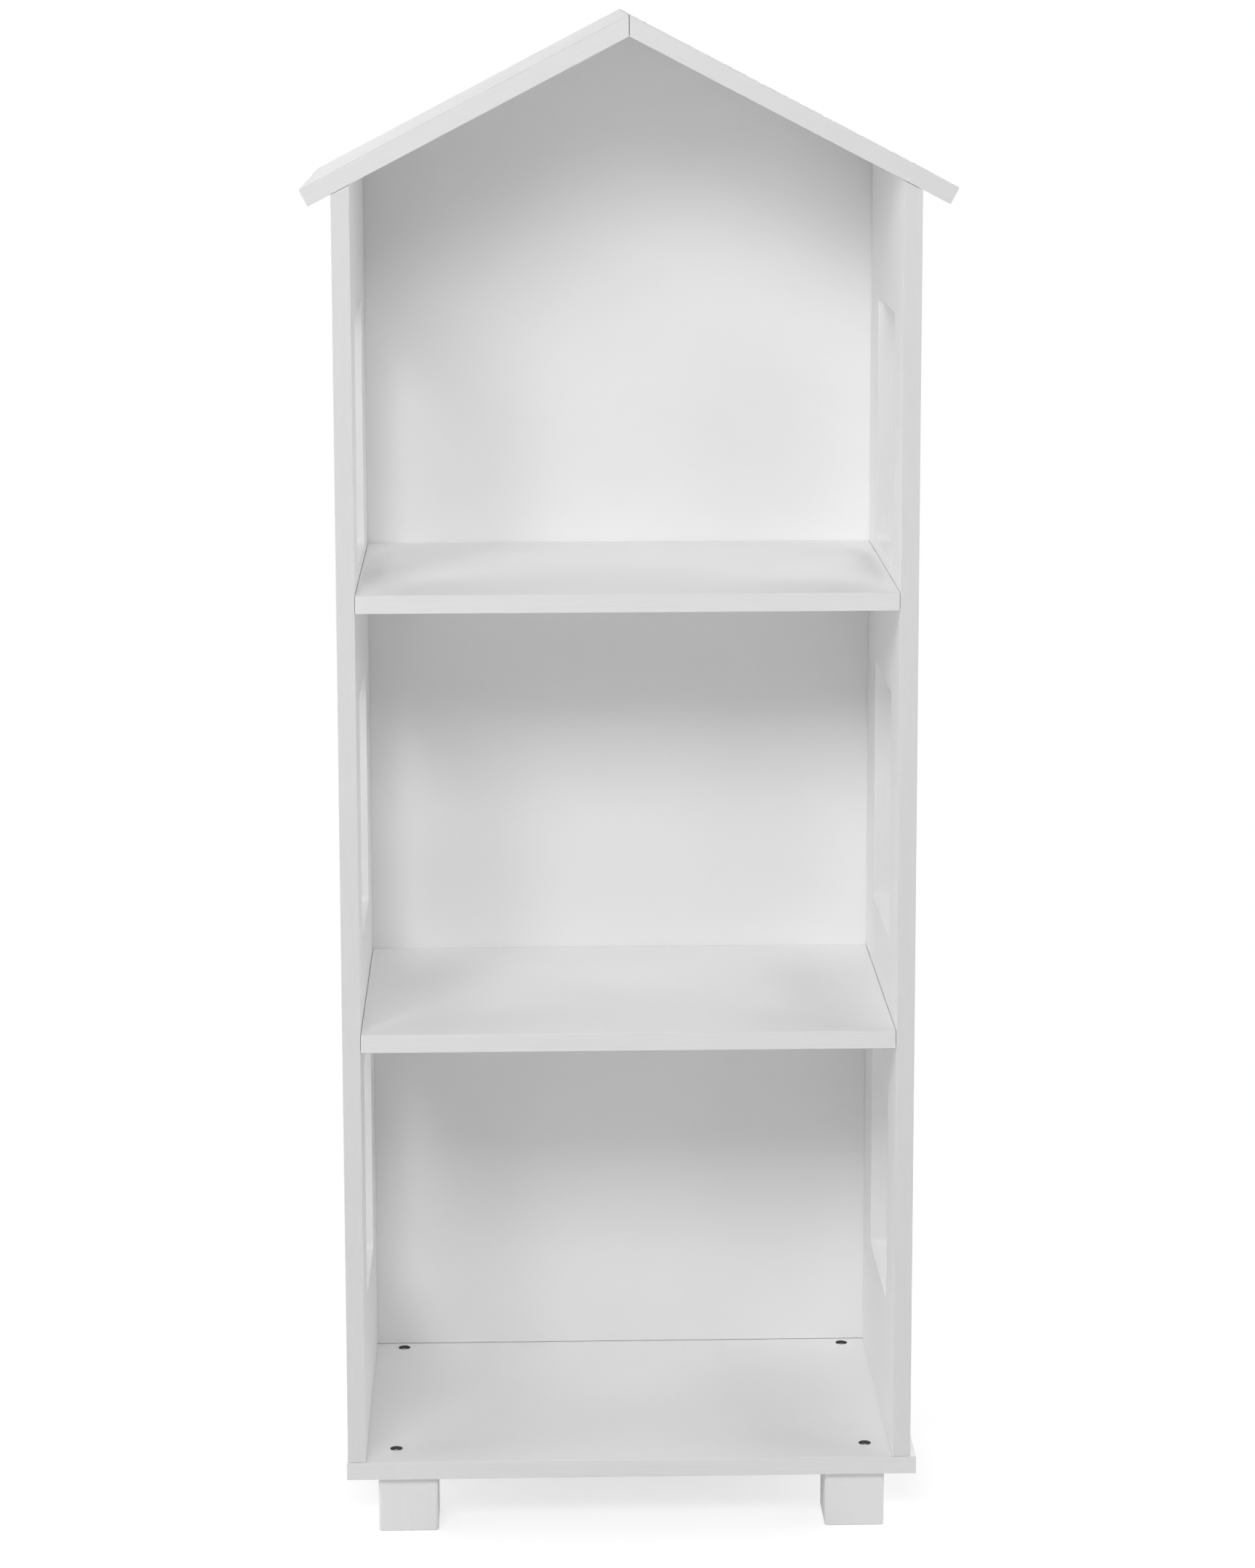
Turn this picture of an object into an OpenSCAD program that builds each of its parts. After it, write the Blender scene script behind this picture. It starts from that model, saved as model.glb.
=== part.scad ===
// House shaped bookcase for a child's room, in millimetres.
// Lacquered boards stand on a base with four block feet. Two shelves lie between the sides,
// a gabled back closes the rear, and two mitred boards make the roof. Each side has three
// open windows. +Z is up, the open front faces -Y, and the origin lies on the floor below
// the middle of the roof.

/* [Carcass] */
// Thickness of every board
board_t = 15; // [12:0.5:20]
// Depth of the base and the roof, front to back
unit_d = 300; // [260:5:360]
// Clear width between the two sides
inner_w = 440; // [380:5:520]
// How far the base sticks out past each side, with the sides centred on it
base_reach = 3; // [2:0.5:10]
// How far the sides, shelves and back stand off to the left of the base's middle
body_shift = 2; // [0:0.5:2]
// Gap left where two lacquered boards meet
seam = 0.35; // [0.1:0.05:0.5]

/* [Shelves] */
// Clear height of the bottom compartment
low_clear = 353; // [300:1:400]
// Clear height of the middle compartment
mid_clear = 350; // [300:1:400]

/* [Roof] */
// Height from the top of the base to the underside of the ridge
ridge_h = 1178; // [1080:2:1300]
// Slope of each roof board in degrees
roof_pitch = 27.5; // [20:0.5:35]
// Width of the roof across both eaves
roof_w = 524; // [515:1:560]
// Gap left at the plumb mitre of the ridge
ridge_gap = 0.5; // [0.1:0.1:0.8]

/* [Windows] */
// Number of windows in each side
window_n = 3; // [1:1:4]
// Board left in front of and behind each window
stile_w = 67.5; // [60:0.5:85]
// Board left under the lowest window
bottom_rail = 113; // [60:1:160]
// Board left between one window and the next
mid_rail = 105; // [60:1:130]
// Board left over the highest window, at the side's outer face
top_rail = 103; // [60:1:160]
// Radius of the window corners
window_r = 6; // [2:0.5:20]

/* [Feet] */
// Height of each foot
foot_h = 48; // [30:1:90]
// Width and depth of each foot
foot_w = 50; // [40:1:70]
// Radius of each foot's upright edges
foot_r = 2.5; // [1:0.5:6]
// From the end of the base to the outer face of a foot
foot_end_inset = 26; // [20:1:60]
// From the front of the base to the front feet
foot_front_inset = 7; // [0:1:30]
// From the back of the base to the back feet
foot_back_inset = 0; // [0:1:30]

/* [Foot bolts] */
// From the outer face of a foot to its bolt
bolt_in = 14.5; // [12:0.5:20]
// Diameter of the bolt's shank
bolt_d = 6; // [5:0.5:8]
// Length of the shank under the head
bolt_l = 25; // [22:1:28]
// Diameter of the bolt's head
bolt_head_d = 9.4; // [8.5:0.1:11]
// Height of the bolt's head
bolt_head_h = 4.6; // [3:0.1:5.5]
// How far the head lies under the top of the base
bolt_sink = 2; // [0.5:0.1:2.5]
// Space round the head in its recess
bolt_recess_gap = 0.6; // [0.3:0.1:1]
// Width of the hexagon socket across its flats
socket_af = 4; // [3:0.5:5]
// Depth of the hexagon socket
socket_deep = 2.6; // [1:0.1:3]
// Diameter of the threaded insert in the foot
insert_d = 10; // [9:0.5:12]
// Length of the threaded insert
insert_l = 13; // [10:1:15]

/* [Wooden dowels] */
// Diameter of a dowel
dowel_d = 8; // [6:1:8]
// Length of a dowel
dowel_l = 30; // [26:1:34]
// How deep a dowel sits in the thinner of its two boards
dowel_sink = 9; // [7:0.5:10]
// Diameter of a ridge dowel
ridge_dowel_d = 6; // [4:0.5:6]
// Length of a ridge dowel
ridge_dowel_l = 24; // [18:1:26]
// Chamfer on a dowel's ends
dowel_tip = 0.8; // [0.4:0.1:1.2]

/* [Cam fittings] */
// Diameter of a cam lock
cam_d = 15; // [12:0.5:16]
// Height of a cam lock
cam_h = 12; // [10:0.5:12]
// From the face of the side to the middle of its cam lock
cam_reach = 34; // [30:1:38]
// Diameter of the cam bolt's thread in the side
cam_thread_d = 5; // [4:0.5:6]
// Length of that thread
cam_thread_l = 11; // [8:0.5:11.5]
// Diameter of the cam bolt's collar and head
cam_collar_d = 7; // [6.5:0.1:7.6]
// Length of the collar
cam_collar_l = 3; // [2:0.5:5]
// Diameter of the cam bolt's shaft
cam_shaft_d = 5; // [4:0.5:6]
// Width of the cross slot in the cam lock
cam_slot_w = 1.6; // [1:0.1:2.5]
// Depth of the cross slot
cam_slot_deep = 1.8; // [1:0.1:2.5]

/* [Screws] */
// Diameter of the screws that come up through the base
side_screw_d = 7; // [5:0.5:7]
// Length of those screws
side_screw_l = 50; // [40:1:55]
// Diameter of their heads
side_head_d = 10; // [8.5:0.5:11]
// Height of their heads
side_head_h = 4; // [2:0.5:5]
// Diameter of the back panel's screws
panel_screw_d = 4; // [3:0.5:5]
// Length of the back panel's screws
panel_screw_l = 35; // [30:1:38]
// Diameter of their countersunk heads
panel_head_d = 8; // [7:0.5:9]
// Length of each arm of the cross recess, tip to tip
cross_l = 4.4; // [3.5:0.1:5]
// Width of each arm of the cross recess
cross_w = 1; // [0.8:0.1:1.4]
// Depth of the cross recess
cross_deep = 1.5; // [1:0.1:1.8]
// Number of screws up each side of the back panel
panel_screw_n = 5; // [3:1:7]

/* [Places of the fittings] */
// From the front of a side, and from its back, to the nearest fitting
fix_in = 37; // [34:1:40]
// From that fitting to the dowel beside it
fix_step = 18; // [17:1:20]
// From the end of the back panel to its first and last screw
panel_screw_end = 60; // [40:5:90]
// From the middle of the unit to the outer panel screws and dowels
panel_fix_x = 130; // [110:5:140]
// Slack round a fitting in its bore
bore_slack = 0.15; // [0.05:0.05:0.3]

/* [Hidden] */
$fn = 48;

lacquer = [0.93, 0.93, 0.92];
zinc = [0.62, 0.63, 0.65];
brass = [0.72, 0.60, 0.33];
beech = [0.80, 0.66, 0.47];

// How far a cutter runs on past the face that it opens
past = 1;

// Levels, from the floor up
base_top = foot_h + board_t;
low_shelf_z = base_top + low_clear;
high_shelf_z = low_shelf_z + board_t + mid_clear;
ridge_z = base_top + ridge_h;
roof_v = board_t / cos(roof_pitch);

// Plan: left and right are s = -1 and 1, front and back are e = -1 and 1
front_y = -unit_d / 2;
back_y = unit_d / 2;
panel_y = back_y - board_t;
panel_mid_y = back_y - board_t / 2;
side_d = panel_y - front_y;
outer_w = inner_w + 2 * board_t;
base_w = outer_w + 2 * base_reach;
body_x = -body_shift;
ends = [-1, 1];

// Fittings along the depth of a side: cam bolts and screws, then the dowels beside them
fix_ys = [front_y + fix_in, panel_y - seam - fix_in];
dowel_ys = [front_y + fix_in + fix_step, panel_y - seam - fix_in - fix_step];
side_mid_y = (front_y + panel_y) / 2;
panel_fix_xs = [for (k = [-1, 0, 1]) body_x + k * panel_fix_x];

// Windows: the rails share the side's height, and the windows take the rest
side_h = ridge_z - outer_w / 2 * tan(roof_pitch) - base_top;
window_h = (side_h - bottom_rail - top_rail - (window_n - 1) * mid_rail) / window_n;
window_w = side_d - 2 * stile_w;

// Panel screws up each side
panel_side_h = side_h - 2 * panel_screw_end;
panel_screw_zs = [
    for (k = [0 : panel_screw_n - 1])
        base_top + panel_screw_end + k * panel_side_h / (panel_screw_n - 1)
];

// Underside of the roof at a distance x from the ridge
function roof_under(x) = ridge_z - abs(x) * tan(roof_pitch);

// Middle of the left or right side's thickness
function side_x(s) = body_x + s * (inner_w + board_t) / 2;

// Inner face of the left or right side
function inner_x(s) = body_x + s * inner_w / 2;

// Middle of a foot, and of its bolt
function foot_x(s) = s * (base_w / 2 - foot_end_inset - foot_w / 2);
function foot_y(e) = e < 0 ? front_y + foot_front_inset + foot_w / 2
                           : back_y - foot_back_inset - foot_w / 2;
function bolt_x(s) = s * (base_w / 2 - foot_end_inset - bolt_in);

// An outline in X and Z, carried from y0 to y1
module along_y(y0, y1) {
    translate([0, y1, 0]) rotate([90, 0, 0]) linear_extrude(y1 - y0) children();
}

// An outline in Y and Z, carried from x0 to x1
module along_x(x0, x1) {
    translate([x0, 0, 0]) rotate([90, 0, 90]) linear_extrude(x1 - x0) children();
}

// A rectangle with round corners, its lower left corner at the origin
module round_rect(w, h, r) {
    translate([r, 0]) square([w - 2 * r, h]);
    translate([0, r]) square([w, h - 2 * r]);
    for (x = [r, w - r], y = [r, h - r]) translate([x, y]) circle(r);
}

// A dowel along Z with its middle at the origin; grow makes its bore
module dowel(d, l, grow = 0) {
    r = d / 2 + grow;
    h = l / 2 + grow;
    rotate_extrude() polygon([
        [0, -h], [r - dowel_tip, -h], [r, dowel_tip - h],
        [r, h - dowel_tip], [r - dowel_tip, h], [0, h]
    ]);
}

// A countersunk screw whose head's flat top is at the origin and whose point is at -Z;
// its bore runs on past the face that it opens
module wood_screw(grow = 0) {
    r = panel_screw_d / 2 + grow;
    head_r = panel_head_d / 2 + grow;
    shank = panel_screw_l - panel_screw_d + grow;
    rotate_extrude() polygon([
        [0, 0], [head_r, 0], [r, r - head_r], [r, -shank], [0, -panel_screw_l - grow]
    ]);
    if (grow > 0) cylinder(h = past, r = head_r);
}

// A screw with a flat head, its head's top at the origin and its point at +Z; its bore
// runs on past the face that it opens
module connector_screw(grow = 0) {
    r = side_screw_d / 2 + grow;
    head_r = side_head_d / 2 + grow;
    rotate_extrude() polygon([
        [0, 0], [head_r, 0], [head_r, side_head_h + grow], [r, side_head_h + grow],
        [r, side_screw_l - r], [0, side_screw_l + grow]
    ]);
    if (grow > 0) translate([0, 0, -past]) cylinder(h = past, r = head_r);
}

// A hexagon socket that opens at the origin and goes down to -Z
module hex_socket(af, deep) {
    translate([0, 0, -deep]) cylinder(h = deep + past, d = af / cos(30), $fn = 6);
}

// A cross recess that opens at the origin and goes down to -Z
module cross_recess() {
    for (a = [0, 90]) rotate([0, 0, a]) translate([-cross_l / 2, -cross_w / 2, -cross_deep])
        cube([cross_l, cross_w, cross_deep + past]);
}

// ---- Places of the fittings, shared by the pieces and their bores ----

// Four foot bolts, at the top of the base
module at_foot_bolts() {
    for (s = ends, e = ends) translate([bolt_x(s), foot_y(e), base_top]) children();
}

// Three screws into each side, at the underside of the base
module at_side_screws() {
    for (s = ends, y = [fix_ys[0], side_mid_y, fix_ys[1]])
        translate([side_x(s), y, foot_h]) children();
}

// Two dowels into the foot of each side
module at_side_dowels() {
    for (s = ends, y = dowel_ys)
        translate([side_x(s), y, base_top - dowel_sink + dowel_l / 2]) children();
}

// Two places at each end of a shelf, on the side's inner face, with +Z into the shelf
module at_shelf_ends(z, ys) {
    for (s = ends, y = ys)
        translate([inner_x(s), y, z + board_t / 2]) rotate([0, -90 * s, 0]) children();
}

// Dowels in the ends of one shelf
module at_shelf_dowels(z) {
    at_shelf_ends(z, dowel_ys) translate([0, 0, dowel_l / 2 - dowel_sink]) children();
}

// Cam locks in the underside of one shelf
module at_cams(z) {
    for (s = ends, y = fix_ys)
        translate([inner_x(s) - s * cam_reach, y, z]) rotate([0, 0, s > 0 ? 0 : 180]) children();
}

// Screws through the back panel, with their heads at its rear face
module at_panel_screws() {
    for (s = ends, z = panel_screw_zs)
        translate([side_x(s), back_y, z]) rotate([-90, 0, 0]) children();
    for (x = panel_fix_xs, z = [low_shelf_z, high_shelf_z])
        translate([x, back_y, z + board_t / 2]) rotate([-90, 0, 0]) children();
}

// Dowels between the base and the back panel
module at_panel_dowels() {
    for (x = panel_fix_xs)
        translate([x, panel_mid_y, base_top - dowel_sink + dowel_l / 2]) children();
}

// Dowels between the gable and the roof, square to the slope
module at_gable_dowels() {
    for (s = ends)
        translate([s * panel_fix_x, panel_mid_y, roof_under(panel_fix_x)])
            rotate([0, s * roof_pitch, 0])
                translate([0, 0, dowel_sink - dowel_l / 2]) children();
}

// Upright dowels between the sides and the roof
module at_roof_dowels() {
    for (s = ends, y = [fix_ys[0], side_mid_y, fix_ys[1]])
        translate([side_x(s), y, roof_under(side_x(s)) + dowel_sink - dowel_l / 2]) children();
}

// Level dowels across the ridge mitre, midway between the underside at the ridge and the
// top face over the dowel's ends
module at_ridge_dowels() {
    fall = ridge_dowel_l / 2 * tan(roof_pitch);
    for (y = [fix_ys[0], side_mid_y, fix_ys[1]])
        translate([0, y, ridge_z + (roof_v - fall) / 2]) rotate([0, 90, 0]) children();
}

// ---- Boards ----

module base_board() color(lacquer) difference() {
    translate([-base_w / 2, front_y, foot_h]) cube([base_w, unit_d, board_t]);
    at_foot_bolts() foot_bolt_bore();
    at_side_screws() connector_screw(bore_slack);
    at_side_dowels() dowel(dowel_d, dowel_l, bore_slack);
    at_panel_dowels() dowel(dowel_d, dowel_l, bore_slack);
}

module side(s) {
    x_in = inner_x(s);
    x_out = x_in + s * board_t;
    difference() {
        along_y(front_y, panel_y - seam) polygon([
            [x_in, base_top + seam], [x_out, base_top + seam],
            [x_out, roof_under(x_out) - seam], [x_in, roof_under(x_in) - seam]
        ]);
        for (k = [0 : window_n - 1])
            along_x(min(x_in, x_out) - past, max(x_in, x_out) + past)
                translate([front_y + stile_w, base_top + bottom_rail + k * (window_h + mid_rail)])
                    round_rect(window_w, window_h, window_r);
        at_side_screws() connector_screw(bore_slack);
        at_side_dowels() dowel(dowel_d, dowel_l, bore_slack);
        for (z = [low_shelf_z, high_shelf_z]) {
            at_shelf_ends(z, fix_ys) cam_bolt(bore_slack);
            at_shelf_dowels(z) dowel(dowel_d, dowel_l, bore_slack);
        }
        at_panel_screws() wood_screw(bore_slack);
        at_roof_dowels() dowel(dowel_d, dowel_l, bore_slack);
    }
}

module left_side() color(lacquer) side(-1);

module right_side() color(lacquer) side(1);

module shelf(z) {
    difference() {
        translate([body_x - inner_w / 2 + seam, front_y, z])
            cube([inner_w - 2 * seam, side_d - seam, board_t]);
        at_cams(z) translate([0, 0, -past])
            cylinder(h = cam_h + bore_slack + past, d = cam_d + 2 * bore_slack);
        at_shelf_ends(z, fix_ys) cam_bolt(bore_slack);
        at_shelf_dowels(z) dowel(dowel_d, dowel_l, bore_slack);
        at_panel_screws() wood_screw(bore_slack);
    }
}

module lower_shelf() color(lacquer) shelf(low_shelf_z);

module upper_shelf() color(lacquer) shelf(high_shelf_z);

module back_panel() color(lacquer) difference() {
    along_y(panel_y, back_y) polygon([
        [body_x - outer_w / 2, base_top + seam],
        [body_x + outer_w / 2, base_top + seam],
        [body_x + outer_w / 2, roof_under(body_x + outer_w / 2) - seam],
        [0, roof_under(0) - seam],
        [body_x - outer_w / 2, roof_under(body_x - outer_w / 2) - seam]
    ]);
    at_panel_screws() wood_screw(bore_slack);
    at_panel_dowels() dowel(dowel_d, dowel_l, bore_slack);
    at_gable_dowels() dowel(dowel_d, dowel_l, bore_slack);
}

// One roof board: a plumb mitre at the ridge and a square cut at the eave
module roof_board(s) {
    eave_x = roof_w / 2;
    difference() {
        along_y(front_y, back_y) polygon([
            [s * ridge_gap / 2, roof_under(ridge_gap / 2)],
            [s * ridge_gap / 2, roof_under(ridge_gap / 2) + roof_v],
            [s * eave_x, roof_under(eave_x) + roof_v],
            [s * (eave_x - board_t * sin(roof_pitch)),
                roof_under(eave_x - board_t * sin(roof_pitch))]
        ]);
        at_roof_dowels() dowel(dowel_d, dowel_l, bore_slack);
        at_gable_dowels() dowel(dowel_d, dowel_l, bore_slack);
        at_ridge_dowels() dowel(ridge_dowel_d, ridge_dowel_l, bore_slack);
    }
}

module left_roof() color(lacquer) roof_board(-1);

module right_roof() color(lacquer) roof_board(1);

// ---- Feet and their fixings ----

module foot(s, e) {
    bolt_end = base_top - bolt_sink - bolt_head_h - bolt_l;
    difference() {
        translate([foot_x(s) - foot_w / 2, foot_y(e) - foot_w / 2, 0])
            linear_extrude(foot_h) round_rect(foot_w, foot_w, foot_r);
        translate([bolt_x(s), foot_y(e), foot_h - insert_l])
            cylinder(h = insert_l + past, d = insert_d + 2 * bore_slack);
        translate([bolt_x(s), foot_y(e), bolt_end - bore_slack])
            cylinder(h = foot_h - bolt_end, d = bolt_d + 2 * bore_slack);
    }
}

module front_left_foot() color(lacquer) foot(-1, -1);

module front_right_foot() color(lacquer) foot(1, -1);

module back_left_foot() color(lacquer) foot(-1, 1);

module back_right_foot() color(lacquer) foot(1, 1);

// Clearance hole and head recess for one foot bolt, from the top of the base down
module foot_bolt_bore() {
    recess = bolt_sink + bolt_head_h;
    translate([0, 0, -recess])
        cylinder(h = recess + past, d = bolt_head_d + 2 * bolt_recess_gap);
    translate([0, 0, -board_t - past])
        cylinder(h = board_t, d = bolt_d + 2 * bore_slack);
}

module foot_bolts() color(zinc) at_foot_bolts()
    translate([0, 0, -bolt_sink]) difference() {
        union() {
            translate([0, 0, -bolt_head_h]) cylinder(h = bolt_head_h, d = bolt_head_d);
            translate([0, 0, -bolt_head_h - bolt_l]) cylinder(h = bolt_l, d = bolt_d);
        }
        hex_socket(socket_af, socket_deep);
    }

module foot_inserts() color(brass)
    for (s = ends, e = ends)
        translate([bolt_x(s), foot_y(e), foot_h - insert_l]) difference() {
            cylinder(h = insert_l, d = insert_d);
            translate([0, 0, -past])
                cylinder(h = insert_l + 2 * past, d = bolt_d + 2 * bore_slack);
        }

// ---- Screws, cam fittings and dowels ----

module side_screws() color(zinc) at_side_screws() difference() {
    connector_screw();
    mirror([0, 0, 1]) hex_socket(socket_af, socket_deep);
}

module side_dowels() color(beech) at_side_dowels() dowel(dowel_d, dowel_l);

// The cam bolt stands along Z, its thread below the side's face and its head in the cam lock
module cam_bolt(grow = 0) {
    collar_r = cam_collar_d / 2 + grow;
    shaft_r = cam_shaft_d / 2;
    head_z = cam_reach - cam_collar_l / 2;
    tip_z = cam_reach + cam_collar_l / 2 + grow;
    translate([0, 0, -cam_thread_l - grow])
        cylinder(h = cam_thread_l + grow, d = cam_thread_d + 2 * grow);
    cylinder(h = cam_collar_l, r = collar_r);
    if (grow > 0) cylinder(h = tip_z, r = collar_r);
    else cylinder(h = tip_z, r = shaft_r);
    translate([0, 0, head_z]) cylinder(h = tip_z - head_z, r = collar_r);
}

module shelf_cam_bolts() color(zinc)
    for (z = [low_shelf_z, high_shelf_z]) at_shelf_ends(z, fix_ys) cam_bolt();

// A cam lock with a cross slot below and a pocket for the bolt's head
module cam_lock() {
    slot_l = cam_d - 4 * cam_slot_w;
    difference() {
        cylinder(h = cam_h, d = cam_d);
        for (a = [0, 90]) rotate([0, 0, a]) translate([-slot_l / 2, -cam_slot_w / 2, -past])
            cube([slot_l, cam_slot_w, cam_slot_deep + past]);
        translate([-cam_collar_l / 2 - bore_slack, 0, board_t / 2]) rotate([0, 90, 0])
            cylinder(h = cam_d, d = cam_collar_d + 2 * bore_slack);
    }
}

module shelf_cam_locks() color(zinc)
    for (z = [low_shelf_z, high_shelf_z]) at_cams(z) cam_lock();

module shelf_dowels() color(beech)
    for (z = [low_shelf_z, high_shelf_z]) at_shelf_dowels(z) dowel(dowel_d, dowel_l);

module panel_screws() color(zinc) at_panel_screws() difference() {
    wood_screw();
    cross_recess();
}

module panel_dowels() color(beech) at_panel_dowels() dowel(dowel_d, dowel_l);

module gable_dowels() color(beech) at_gable_dowels() dowel(dowel_d, dowel_l);

module roof_dowels() color(beech) at_roof_dowels() dowel(dowel_d, dowel_l);

module ridge_dowels() color(beech) at_ridge_dowels() dowel(ridge_dowel_d, ridge_dowel_l);

base_board();
left_side();
right_side();
lower_shelf();
upper_shelf();
back_panel();
left_roof();
right_roof();
front_left_foot();
front_right_foot();
back_left_foot();
back_right_foot();
foot_bolts();
foot_inserts();
side_screws();
side_dowels();
shelf_cam_bolts();
shelf_cam_locks();
shelf_dowels();
panel_screws();
panel_dowels();
gable_dowels();
roof_dowels();
ridge_dowels();
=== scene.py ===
import bpy
import bmesh
import math
from mathutils import Matrix, Vector


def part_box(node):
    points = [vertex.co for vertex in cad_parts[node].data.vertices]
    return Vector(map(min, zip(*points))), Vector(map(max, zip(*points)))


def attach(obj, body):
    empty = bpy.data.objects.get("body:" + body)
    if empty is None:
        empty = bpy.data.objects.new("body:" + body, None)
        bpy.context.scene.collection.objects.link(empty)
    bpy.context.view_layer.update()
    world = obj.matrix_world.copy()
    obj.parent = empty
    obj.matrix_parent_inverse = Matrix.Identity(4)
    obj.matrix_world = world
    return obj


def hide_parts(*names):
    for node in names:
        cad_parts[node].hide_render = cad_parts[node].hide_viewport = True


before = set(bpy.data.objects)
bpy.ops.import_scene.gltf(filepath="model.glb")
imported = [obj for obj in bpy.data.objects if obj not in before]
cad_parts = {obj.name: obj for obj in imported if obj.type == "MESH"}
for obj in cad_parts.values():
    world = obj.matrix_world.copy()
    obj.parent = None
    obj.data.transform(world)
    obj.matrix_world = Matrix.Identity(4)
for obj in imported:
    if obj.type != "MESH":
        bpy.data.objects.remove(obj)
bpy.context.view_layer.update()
scene = bpy.context.scene
print("frame:", len(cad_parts), "nodes")

mmPerM = 1000
# A Mix node's sockets in its colour mode, by place, since its modes share their names
mixShare, mixFirst, mixSecond, mixResult = 0, 6, 7, 2


def linearColour(hexText):
    # an sRGB hex value as the linear colour that the shaders work in
    parts = [int(hexText[i:i + 2], 16) / 255 for i in (1, 3, 5)]
    return [p / 12.92 if p <= 0.04045 else ((p + 0.055) / 1.055) ** 2.4 for p in parts] + [1.0]


def addNode(tree, kind, settings=None, links=None):
    # one node, with its settings by property or socket and its links by socket
    made = tree.nodes.new(kind)
    for name, value in (settings or {}).items():
        if isinstance(name, str) and hasattr(made, name):
            setattr(made, name, value)
        else:
            made.inputs[name].default_value = value
    for name, source in (links or {}).items():
        tree.links.new(source, made.inputs[name])
    return made


def startMaterial(name):
    # a material with one Principled surface; its Object coordinates come back too
    made = bpy.data.materials.new(name)
    made.use_nodes = True
    tree = made.node_tree
    tree.nodes.clear()
    shader = addNode(tree, "ShaderNodeBsdfPrincipled")
    addNode(tree, "ShaderNodeOutputMaterial", links={"Surface": shader.outputs[0]})
    place = addNode(tree, "ShaderNodeTexCoord").outputs["Object"]
    return made, tree, shader, place


# Sprayed two-part polyurethane lacquer on fibreboard: an even cool white with a satin sheen,
# a very fine orange-peel skin and broad, barely seen changes of tone and gloss
whiteLacquer = {
    "tone": "#f6f6f6", "toneLow": "#f2f2f2", "toneMm": 260,
    "peelMm": 1.6, "peelDeepMm": 0.012,
    "roughLow": 0.58, "roughHigh": 0.66, "smearMm": 45, "ior": 1.5,
}
# Painted light: the feet and the walls of the windows get a lighter copy of the lacquer and are the
# whitest
paintedLightCoat = dict(whiteLacquer, tone="#f8f8f8", toneLow="#f5f5f5")
# Painted shade: a grey line along the left roof board's upper front arris, the same lacquer toned down
arrisShadeCoat = dict(whiteLacquer, tone="#d4d4d4", toneLow="#cacaca")


def makeWhiteLacquer(name, spec, fibreAlong=None):
    made, tree, shader, place = startMaterial(name)
    tone = addNode(tree, "ShaderNodeTexNoise",
                   {"Scale": mmPerM / spec["toneMm"], "Detail": 3.0, "Roughness": 0.5},
                   {"Vector": place})
    mixed = addNode(tree, "ShaderNodeMix",
                    {"data_type": "RGBA", mixFirst: linearColour(spec["toneLow"]),
                     mixSecond: linearColour(spec["tone"])},
                    {mixShare: tone.outputs["Fac"]})
    smear = addNode(tree, "ShaderNodeTexNoise",
                    {"Scale": mmPerM / spec["smearMm"], "Detail": 4.0, "Roughness": 0.6},
                    {"Vector": place})
    rough = addNode(tree, "ShaderNodeMapRange",
                    {"From Min": 0.3, "From Max": 0.7,
                     "To Min": spec["roughLow"], "To Max": spec["roughHigh"]},
                    {"Value": smear.outputs["Fac"]})
    peel = addNode(tree, "ShaderNodeTexNoise",
                   {"Scale": mmPerM / spec["peelMm"], "Detail": 2.0, "Roughness": 0.45},
                   {"Vector": place})
    height = peel.outputs["Fac"]
    colour = mixed.outputs[mixResult]
    if fibreAlong:
        # cut edges: the fibres under the film raise it a little, in threads along the board
        along = addNode(tree, "ShaderNodeMapping",
                        {"vector_type": "TEXTURE", "Rotation": fibreAlong["turn"],
                         "Scale": [fibreAlong["threadMm"] / mmPerM, fibreAlong["threadMm"] / mmPerM,
                                   fibreAlong["lengthMm"] / mmPerM]},
                        {"Vector": place})
        fibre = addNode(tree, "ShaderNodeTexNoise", {"Scale": 1.0, "Detail": 3.0, "Roughness": 0.6},
                        {"Vector": along.outputs[0]})
        height = addNode(tree, "ShaderNodeMath", {"operation": "ADD"},
                         {0: peel.outputs["Fac"], 1: fibre.outputs["Fac"]}).outputs[0]
        faint = addNode(tree, "ShaderNodeMapRange",
                        {"From Min": 0.35, "From Max": 0.65, "To Min": fibreAlong["shade"], "To Max": 1.0},
                        {"Value": fibre.outputs["Fac"]})
        colour = addNode(tree, "ShaderNodeMix",
                         {"data_type": "RGBA", "blend_type": "MULTIPLY", mixShare: 1.0},
                         {mixFirst: colour, mixSecond: faint.outputs[0]}).outputs[mixResult]
    bump = addNode(tree, "ShaderNodeBump",
                   {"Strength": 1.0, "Distance": spec["peelDeepMm"] / mmPerM}, {"Height": height})
    shader.inputs["IOR"].default_value = spec["ior"]
    tree.links.new(colour, shader.inputs["Base Color"])
    tree.links.new(rough.outputs[0], shader.inputs["Roughness"])
    tree.links.new(bump.outputs[0], shader.inputs["Normal"])
    return made
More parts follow.
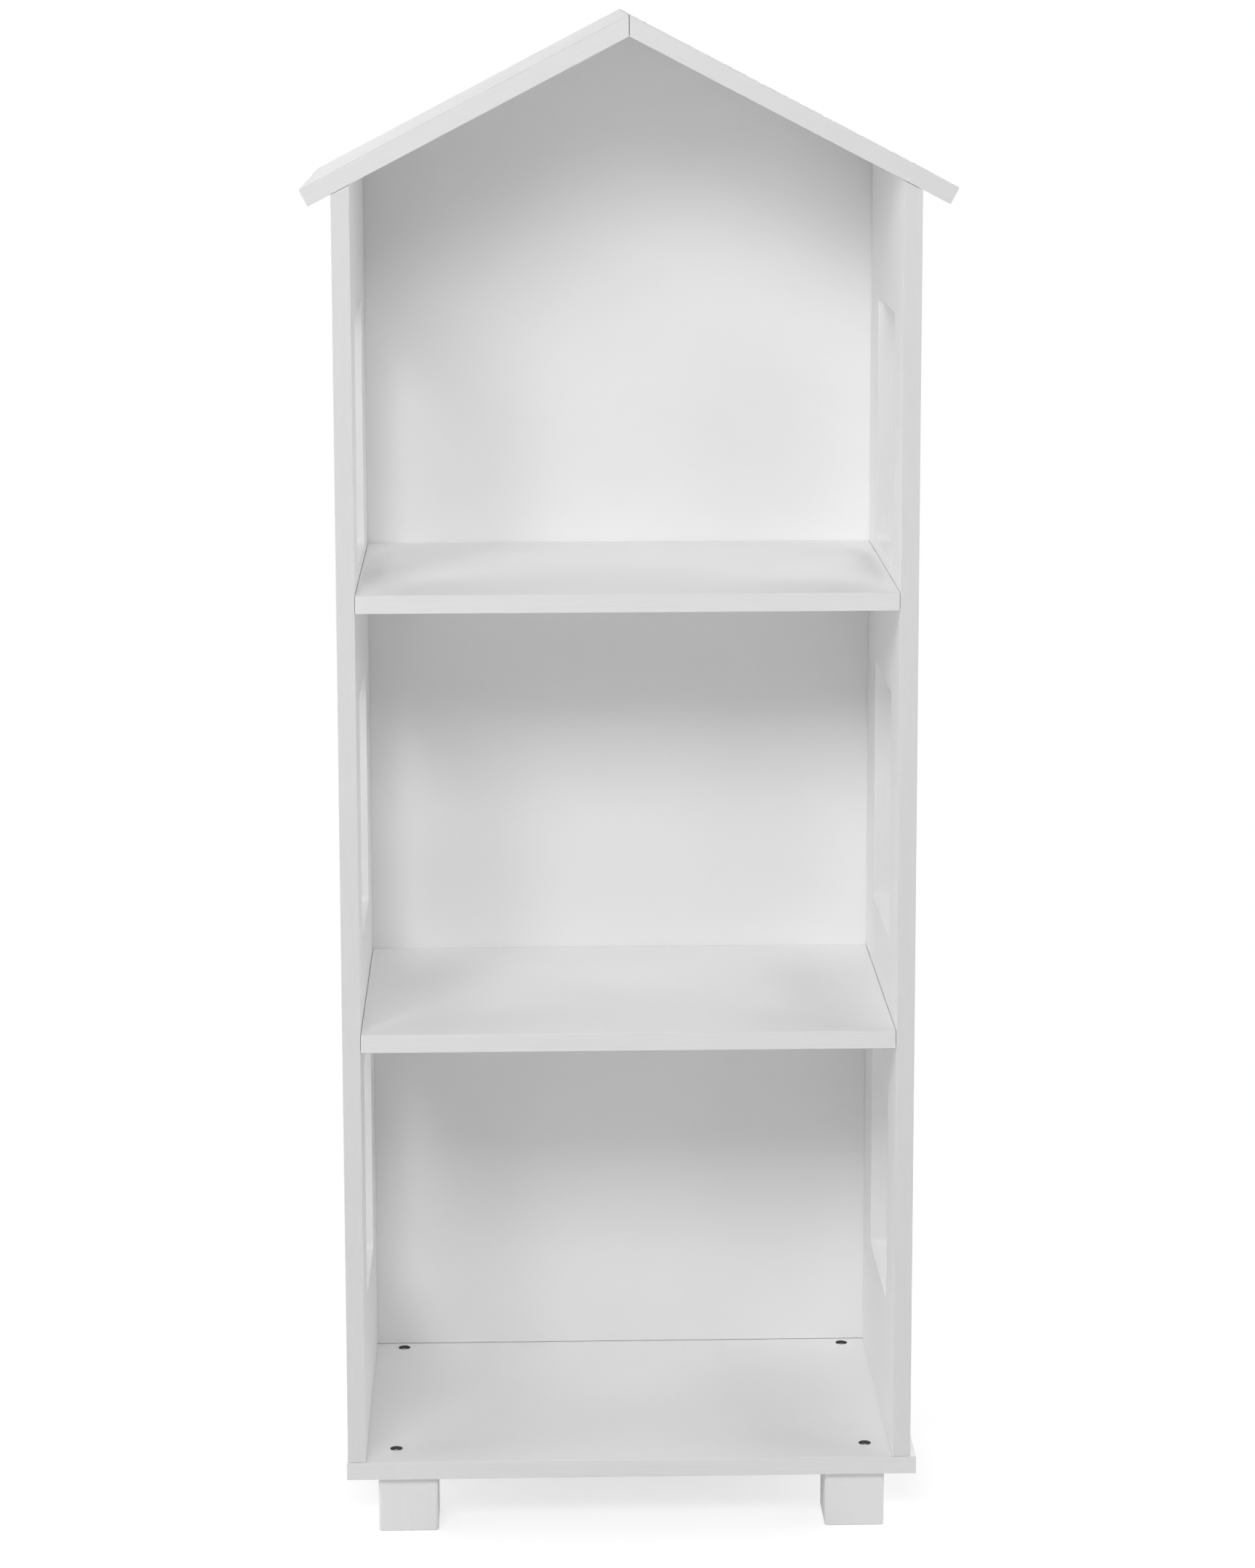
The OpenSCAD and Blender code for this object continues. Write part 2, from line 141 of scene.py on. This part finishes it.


# Cut edges carry painted shade: each way of board has its own tone, a touch greyer than the faces.
# They also show faint threads of fibre along each board's length; turn brings Z to that length
roofPitch = math.radians(27.5)
edgeThreads = {"threadMm": 0.9, "lengthMm": 30, "shade": 0.975}
shadedCutEdges = {
    "upright": {"turn": [0, 0, 0], "tone": "#ebebeb", "toneLow": "#e7e7e7"},
    "level": {"turn": [0, math.pi / 2, 0], "tone": "#f3f3f3", "toneLow": "#efefef"},
    "leftSlope": {"turn": [0, math.pi / 2 - roofPitch, 0], "tone": "#efefef", "toneLow": "#ebebeb"},
    "rightSlope": {"turn": [0, math.pi / 2 + roofPitch, 0], "tone": "#ededed", "toneLow": "#e9e9e9"},
}
faceLacquer = makeWhiteLacquer("whiteLacquerFace", whiteLacquer)
arrisShadeLacquer = makeWhiteLacquer("whiteLacquerArrisPaintedShade", arrisShadeCoat)
paintedLightLacquer = makeWhiteLacquer("whiteLacquerPaintedLight", paintedLightCoat,
                               dict(edgeThreads, turn=shadedCutEdges["upright"]["turn"]))
shadedEdgeLacquers = {
    way: makeWhiteLacquer("whiteLacquerShadedEdge_" + way,
                          dict(whiteLacquer, tone=edge["tone"], toneLow=edge["toneLow"]),
                          dict(edgeThreads, turn=edge["turn"]))
    for way, edge in shadedCutEdges.items()
}

# Bare fibreboard, where a hole was drilled after the lacquer: pressed brown fibre, dull, with
# tones darker and greyer than bare board, as painted shade in the holes
bareFibreboardShaded = {"pale": "#67615a", "dark": "#45413b", "fibreMm": 0.35, "deepMm": 0.08, "rough": 0.9}


def makeBareFibreboard(name, spec):
    made, tree, shader, place = startMaterial(name)
    fibre = addNode(tree, "ShaderNodeTexNoise",
                    {"Scale": mmPerM / spec["fibreMm"], "Detail": 3.0, "Roughness": 0.7},
                    {"Vector": place})
    mixed = addNode(tree, "ShaderNodeMix",
                    {"data_type": "RGBA", mixFirst: linearColour(spec["dark"]),
                     mixSecond: linearColour(spec["pale"])},
                    {mixShare: fibre.outputs["Fac"]})
    bump = addNode(tree, "ShaderNodeBump", {"Strength": 1.0, "Distance": spec["deepMm"] / mmPerM},
                   {"Height": fibre.outputs["Fac"]})
    shader.inputs["Roughness"].default_value = spec["rough"]
    tree.links.new(mixed.outputs[mixResult], shader.inputs["Base Color"])
    tree.links.new(bump.outputs[0], shader.inputs["Normal"])
    return made


shadedDrilledWall = makeBareFibreboard("bareFibreboardShaded", bareFibreboardShaded)

# Zinc-plated steel: bright and a little blue, with soft turning marks
zincPlate = {"low": "#9c9fa3", "high": "#c4c7ca", "grainMm": [0.4, 0.4, 0.4],
             "roughLow": 0.24, "roughHigh": 0.4, "deepMm": 0.008}
# Die-cast zinc: dull grey, with a tumbled skin
castZinc = {"low": "#85878a", "high": "#a6a8aa", "grainMm": [0.8, 0.8, 0.8],
            "roughLow": 0.42, "roughHigh": 0.6, "deepMm": 0.02}
# Turned brass: yellow, with fine rings from the lathe
turnedBrass = {"low": "#b08d4a", "high": "#d0ad66", "grainMm": [3.0, 3.0, 0.15],
               "roughLow": 0.25, "roughHigh": 0.4, "deepMm": 0.006}


def makeMetal(name, spec):
    # a metal's own colour, gloss and height, all varied by one grain of fine marks
    made, tree, shader, place = startMaterial(name)
    grain = addNode(tree, "ShaderNodeMapping",
                    {"Scale": [mmPerM / mm for mm in spec["grainMm"]]}, {"Vector": place})
    marks = addNode(tree, "ShaderNodeTexNoise", {"Scale": 1.0, "Detail": 4.0, "Roughness": 0.65},
                    {"Vector": grain.outputs[0]})
    mixed = addNode(tree, "ShaderNodeMix",
                    {"data_type": "RGBA", mixFirst: linearColour(spec["low"]),
                     mixSecond: linearColour(spec["high"])},
                    {mixShare: marks.outputs["Fac"]})
    rough = addNode(tree, "ShaderNodeMapRange",
                    {"From Min": 0.3, "From Max": 0.7,
                     "To Min": spec["roughLow"], "To Max": spec["roughHigh"]},
                    {"Value": marks.outputs["Fac"]})
    bump = addNode(tree, "ShaderNodeBump", {"Strength": 1.0, "Distance": spec["deepMm"] / mmPerM},
                   {"Height": marks.outputs["Fac"]})
    shader.inputs["Metallic"].default_value = 1.0
    tree.links.new(mixed.outputs[mixResult], shader.inputs["Base Color"])
    tree.links.new(rough.outputs[0], shader.inputs["Roughness"])
    tree.links.new(bump.outputs[0], shader.inputs["Normal"])
    return made


metals = {
    "zincPlate": makeMetal("zincPlatedSteel", zincPlate),
    "castZinc": makeMetal("dieCastZinc", castZinc),
    "turnedBrass": makeMetal("turnedBrass", turnedBrass),
}

# Beech dowel: pale pink-brown, with short darker ray flecks along the grain
beech = {"pale": "#d9bd94", "dark": "#b98f62", "fleckMm": 0.35, "fleckLongMm": 2.6,
         "deepMm": 0.05, "rough": 0.62}


def makeBeech(name, spec, turn):
    made, tree, shader, place = startMaterial(name)
    along = addNode(tree, "ShaderNodeMapping",
                    {"vector_type": "TEXTURE", "Rotation": turn,
                     "Scale": [spec["fleckMm"] / mmPerM, spec["fleckMm"] / mmPerM,
                               spec["fleckLongMm"] / mmPerM]},
                    {"Vector": place})
    fleck = addNode(tree, "ShaderNodeTexNoise", {"Scale": 1.0, "Detail": 3.0, "Roughness": 0.6},
                    {"Vector": along.outputs[0]})
    sharp = addNode(tree, "ShaderNodeMapRange", {"From Min": 0.42, "From Max": 0.68},
                    {"Value": fleck.outputs["Fac"]})
    mixed = addNode(tree, "ShaderNodeMix",
                    {"data_type": "RGBA", mixFirst: linearColour(spec["pale"]),
                     mixSecond: linearColour(spec["dark"])},
                    {mixShare: sharp.outputs[0]})
    bump = addNode(tree, "ShaderNodeBump", {"Strength": 1.0, "Distance": spec["deepMm"] / mmPerM},
                   {"Height": fleck.outputs["Fac"]})
    shader.inputs["Roughness"].default_value = spec["rough"]
    tree.links.new(mixed.outputs[mixResult], shader.inputs["Base Color"])
    tree.links.new(bump.outputs[0], shader.inputs["Normal"])
    return made


beechUp = makeBeech("beechDowelUpright", beech, [0, 0, 0])
beechLevel = makeBeech("beechDowelLevel", beech, [0, math.pi / 2, 0])
print("finishes:", len(bpy.data.materials), "materials")

# How a node's mesh is read: what is one point, one flat face, level ground or a sharp corner
reading = {"mergeMm": 0.002, "flatDeg": 0.4, "levelDeg": 1, "sharpDeg": 40}


def cleanCopy(node):
    # the node's loose triangles as one closed mesh with whole flat faces
    shape = bmesh.new()
    shape.from_mesh(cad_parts[node].data)
    bmesh.ops.remove_doubles(shape, verts=shape.verts, dist=reading["mergeMm"] / mmPerM)
    bmesh.ops.dissolve_limit(shape, angle_limit=math.radians(reading["flatDeg"]),
                             verts=shape.verts, edges=shape.edges)
    return shape


def sharpEdges(shape):
    return [e for e in shape.edges if len(e.link_faces) == 2
            and e.calc_face_angle() > math.radians(reading["sharpDeg"])]


def rimEdges(shape, longMm):
    # a solid's own rims: long sharp edges, and the sharp ones that carry on round a corner
    sharp = sharpEdges(shape)
    found = {e for e in sharp if e.calc_length() > longMm / mmPerM}
    waiting = set(sharp) - found
    grown = True
    while grown:
        reached = {v for e in found for v in e.verts}
        grown = {e for e in waiting if e.verts[0] in reached or e.verts[1] in reached}
        found |= grown
        waiting -= grown
    return list(found)


def drilledFaces(shape, rims):
    # walls and floors of the holes: all that a walk over level ground from the rims can't reach
    reached = {f for e in rims for f in e.link_faces}
    waiting = list(reached)
    while waiting:
        for edge in waiting.pop().edges:
            if edge.calc_face_angle() < math.radians(reading["levelDeg"]):
                fresh = set(edge.link_faces) - reached
                reached |= fresh
                waiting.extend(fresh)
    return [f for f in shape.faces if f not in reached]


def easeEdges(shape, edges, easeMm, segments):
    bmesh.ops.bevel(shape, geom=edges, offset=easeMm / mmPerM, offset_type="OFFSET",
                    segments=segments, profile=0.5, affect="EDGES", clamp_overlap=True, material=-1)


def shadeByAngle(shape, smoothDeg, broadMm2):
    # smooth across gentle bends, sharp at corners, and flat on the broad faces
    for face in shape.faces:
        face.smooth = face.calc_area() < broadMm2 / mmPerM ** 2
    for edge in shape.edges:
        edge.smooth = len(edge.link_faces) == 2 and edge.calc_face_angle() < math.radians(smoothDeg)


def finishPiece(shape, name, node, materials):
    made = bpy.data.meshes.new(name)
    shape.to_mesh(made)
    shape.free()
    piece = bpy.data.objects.new(name, made)
    scene.collection.objects.link(piece)
    for material in materials:
        made.materials.append(material)
    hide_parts(node)
    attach(piece, "root")


# Boards: each node's direction of thickness, and the way that its cut edges run
boards = {
    "easeMm": 0.6, "segments": 3, "longMm": 5, "smoothDeg": 35, "broadMm2": 500,
    "faceShare": 0.7,  # a broad face's normal lies more than this along the thickness
    "shadedArrisShares": (0.3, 0.95),  # the left roof's arris with painted shade: between these, upwards and forwards
    "rimMm": 20,  # a side's cut edges further in than this are its windows' walls
    "pieces": {
        "base_board": ("Z", "level"),
        "left_side": ("X", "upright"),
        "right_side": ("X", "upright"),
        "lower_shelf": ("Z", "level"),
        "upper_shelf": ("Z", "level"),
        "back_panel": ("Y", "upright"),
        "left_roof": ("left", "leftSlope"),
        "right_roof": ("right", "rightSlope"),
    },
}
thickness = {
    "X": Vector((1, 0, 0)), "Y": Vector((0, 1, 0)), "Z": Vector((0, 0, 1)),
    "left": Vector((-math.sin(roofPitch), 0, math.cos(roofPitch))),
    "right": Vector((math.sin(roofPitch), 0, math.cos(roofPitch))),
}


def inward(face, low, high):
    # how far the middle of a side's face is from the side's front, back, foot and top
    at = face.calc_center_median()
    return min(min(at[i] - low[i], high[i] - at[i]) for i in (1, 2))


def chooseSkin(face, across, low, high):
    # what covers a face outside the drilled holes
    share = face.normal.dot(thickness[across])
    least, most = boards["shadedArrisShares"]
    # the left roof board's upper front arris takes the painted shade
    if across == "left" and least < share < most and least < -face.normal.y < most:
        return "arris"
    if abs(share) > boards["faceShare"]:
        return "face"
    # a window's walls take the painted-light copy of the lacquer
    if across == "X" and inward(face, low, high) > boards["rimMm"] / mmPerM:
        return "paintedLit"
    return "edge"


for node, (across, way) in boards["pieces"].items():
    low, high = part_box(node)
    skins = {"face": faceLacquer, "edge": shadedEdgeLacquers[way], "drilled": shadedDrilledWall,
             "arris": arrisShadeLacquer, "paintedLit": paintedLightLacquer}
    order = list(skins)
    shape = cleanCopy(node)
    rims = rimEdges(shape, boards["longMm"])
    for face in drilledFaces(shape, rims):
        face.material_index = order.index("drilled")
    easeEdges(shape, rims, boards["easeMm"], boards["segments"])
    shadeByAngle(shape, boards["smoothDeg"], boards["broadMm2"])
    for face in shape.faces:
        if face.material_index != order.index("drilled"):
            face.material_index = order.index(chooseSkin(face, across, low, high))
    finishPiece(shape, node + "_lacquered", node, skins.values())
print("boards:", len(boards["pieces"]), "dressed")

# Feet: solid blocks with their rims eased more than the boards, in the painted-light copy of the lacquer
feet = {"easeMm": 1.2, "segments": 3, "longMm": 12, "smoothDeg": 35, "broadMm2": 300,
        "pieces": ["front_left_foot", "front_right_foot", "back_left_foot", "back_right_foot"]}
for node in feet["pieces"]:
    shape = cleanCopy(node)
    easeEdges(shape, rimEdges(shape, feet["longMm"]), feet["easeMm"], feet["segments"])
    shadeByAngle(shape, feet["smoothDeg"], feet["broadMm2"])
    finishPiece(shape, node + "_lacquered", node, [paintedLightLacquer])
print("feet:", len(feet["pieces"]), "dressed")

# Fittings whose heads show: their rims are rolled or stamped, never knife-sharp. Each has its
# ease in millimetres, its slot and its metal. None has a broad face
heads = {
    "segments": 2, "smoothDeg": 40, "broadMm2": math.inf,
    "pieces": {
        "foot_bolts": (0.45, "zinc_plate", "zincPlate"),
        "side_screws": (0.3, "zinc_plate", "zincPlate"),
        "panel_screws": (0.12, "zinc_plate", "zincPlate"),
        "shelf_cam_locks": (0.25, "zinc_cam", "castZinc"),
    },
}
for node, (easeMm, slot, metal) in heads["pieces"].items():
    shape = cleanCopy(node)
    easeEdges(shape, sharpEdges(shape), easeMm, heads["segments"])
    shadeByAngle(shape, heads["smoothDeg"], heads["broadMm2"])
    finishPiece(shape, node + "_finished", node, [metals[metal]])
print("heads:", len(heads["pieces"]), "dressed")

# Fittings that stay hidden in the boards keep their CAD shape
hidden = {
    "foot_inserts": metals["turnedBrass"],
    "shelf_cam_bolts": metals["zincPlate"],
    "side_dowels": beechUp,
    "shelf_dowels": beechLevel,
    "panel_dowels": beechUp,
    "gable_dowels": beechUp,
    "roof_dowels": beechUp,
    "ridge_dowels": beechLevel,
}
for node, material in hidden.items():
    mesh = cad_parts[node].data
    mesh.materials.clear()
    mesh.materials.append(material)
print("hidden fittings:", len(hidden), "finished")


def seenDirectly(tree):
    # 1 where the camera, gloss or glass looks straight at a thing, and 0 for all other light
    ray = addNode(tree, "ShaderNodeLightPath")
    seen = ray.outputs["Is Camera Ray"]
    for kind in ("Is Glossy Ray", "Is Transmission Ray"):
        seen = addNode(tree, "ShaderNodeMath", {"operation": "MAXIMUM"},
                       {0: seen, 1: ray.outputs[kind]}).outputs[0]
    return seen


# A pale studio sweep, just under the feet. Seen directly, it keeps the bookcase's soft shadow
# out to nearM and is pure white from farM on
sweep = {"reachM": 14.0, "tone": "#f7f7f7", "shadowShare": 0.5, "lift": 0.65,
         "clearMm": 0.2, "nearM": 0.45, "farM": 1.5}


def makeFloor(spec):
    shape = bmesh.new()
    bmesh.ops.create_grid(shape, x_segments=2, y_segments=2, size=spec["reachM"],
                          matrix=Matrix.Translation((0, 0, -spec["clearMm"] / mmPerM)))
    mesh = bpy.data.meshes.new("studioFloor")
    shape.to_mesh(mesh)
    shape.free()
    floor = bpy.data.objects.new("studioFloor", mesh)
    scene.collection.objects.link(floor)
    made = bpy.data.materials.new("paleSweep")
    made.use_nodes = True
    tree = made.node_tree
    tree.nodes.clear()
    pale = addNode(tree, "ShaderNodeBsdfDiffuse", {"Color": linearColour(spec["tone"])})
    shaded = addNode(tree, "ShaderNodeBsdfDiffuse", {"Color": [spec["shadowShare"]] * 3 + [1.0]})
    lift = addNode(tree, "ShaderNodeEmission", {"Color": [spec["lift"]] * 3 + [1.0]})
    near = addNode(tree, "ShaderNodeAddShader", {}, {0: shaded.outputs[0], 1: lift.outputs[0]})
    white = addNode(tree, "ShaderNodeEmission", {"Color": [1.0, 1.0, 1.0, 1.0]})
    place = addNode(tree, "ShaderNodeTexCoord").outputs["Object"]
    away = addNode(tree, "ShaderNodeVectorMath", {"operation": "LENGTH"}, {0: place})
    share = addNode(tree, "ShaderNodeMapRange",
                    {"interpolation_type": "SMOOTHSTEP",
                     "From Min": spec["nearM"], "From Max": spec["farM"]},
                    {"Value": away.outputs["Value"]})
    shown = addNode(tree, "ShaderNodeMixShader", {},
                    {0: share.outputs[0], 1: near.outputs[0], 2: white.outputs[0]})
    surface = addNode(tree, "ShaderNodeMixShader", {},
                      {0: seenDirectly(tree), 1: pale.outputs[0], 2: shown.outputs[0]})
    addNode(tree, "ShaderNodeOutputMaterial", links={"Surface": surface.outputs[0]})
    mesh.materials.append(made)


makeFloor(sweep)

# The room: white to what looks straight at it, a plain pale fill to everything else
room = {"fill": 0.05, "white": 1.0}


def makeRoom(spec):
    world = bpy.data.worlds.new("studioRoom")
    scene.world = world
    world.use_nodes = True
    tree = world.node_tree
    tree.nodes.clear()
    fill = addNode(tree, "ShaderNodeBackground", {"Color": [1, 1, 1, 1], "Strength": spec["fill"]})
    white = addNode(tree, "ShaderNodeBackground", {"Color": [1, 1, 1, 1], "Strength": spec["white"]})
    shown = addNode(tree, "ShaderNodeMixShader", {},
                    {0: seenDirectly(tree), 1: fill.outputs[0], 2: white.outputs[0]})
    addNode(tree, "ShaderNodeOutputWorld", links={"Surface": shown.outputs[0]})


makeRoom(room)

# Soft boxes, all turned to the bookcase's middle: where each stands, its width and height in
# metres, and its watts. The two front ones stand a little left of the camera and above it
softBoxes = {
    "frontBox": {"at": (-0.582, -2.737, 2.399), "size": (2.2, 0.85), "watts": 47.8},
    "frontLowBox": {"at": (-0.636, -2.993, 1.886), "size": (1.6, 0.85), "watts": 6.1},
    "leftBox": {"at": (-2.977, -0.633, 1.639), "size": (1.4, 1.6), "watts": 24},
    "rightBox": {"at": (2.977, -0.633, 1.639), "size": (1.4, 1.6), "watts": 21.1},
    "leftBackBox": {"at": (-2.788, 1.126, 1.744), "size": (2.6, 2.0), "watts": 29.4},
    "rightBackBox": {"at": (2.788, 1.126, 1.744), "size": (2.6, 2.0), "watts": 42.5},
    "rearBox": {"at": (0.0, 3.202, 1.448), "size": (2.6, 1.4), "watts": 27.8},
}
softBoxAim = Vector((0, 0, 0.65))


def hangSoftBox(name, spec):
    lamp = bpy.data.lights.new(name, "AREA")
    lamp.shape = "RECTANGLE"
    lamp.size, lamp.size_y = spec["size"]
    lamp.energy = spec["watts"]
    made = bpy.data.objects.new(name, lamp)
    scene.collection.objects.link(made)
    made.location = spec["at"]
    made.rotation_euler = (softBoxAim - made.location).to_track_quat("-Z", "Y").to_euler()


for name, spec in softBoxes.items():
    hangSoftBox(name, spec)
print("light:", len(softBoxes), "soft boxes")

# The camera: a little left of the middle, just above the roof's ridge, and tipped down. Part of
# the photograph's view-camera shift is kept. Angles are in degrees, and mm is the focal length
lens = {"mm": 90.69, "shiftUp": -0.12, "at": (-0.08872, -3.28872, 1.311),
        "turnRight": 1.576, "tipDown": 9.338, "roll": 0.111}
cameraData = bpy.data.cameras.new("viewCamera")
cameraData.lens = lens["mm"]
cameraData.shift_y = lens["shiftUp"]
viewCamera = bpy.data.objects.new("viewCamera", cameraData)
scene.collection.objects.link(viewCamera)
turn = (Matrix.Rotation(math.radians(-lens["turnRight"]), 4, "Z")
        @ Matrix.Rotation(math.radians(90 - lens["tipDown"]), 4, "X")
        @ Matrix.Rotation(math.radians(-lens["roll"]), 4, "Z"))
viewCamera.matrix_world = Matrix.Translation(lens["at"]) @ turn
scene.camera = viewCamera
scene.view_settings.view_transform = "Standard"
print("camera: set")
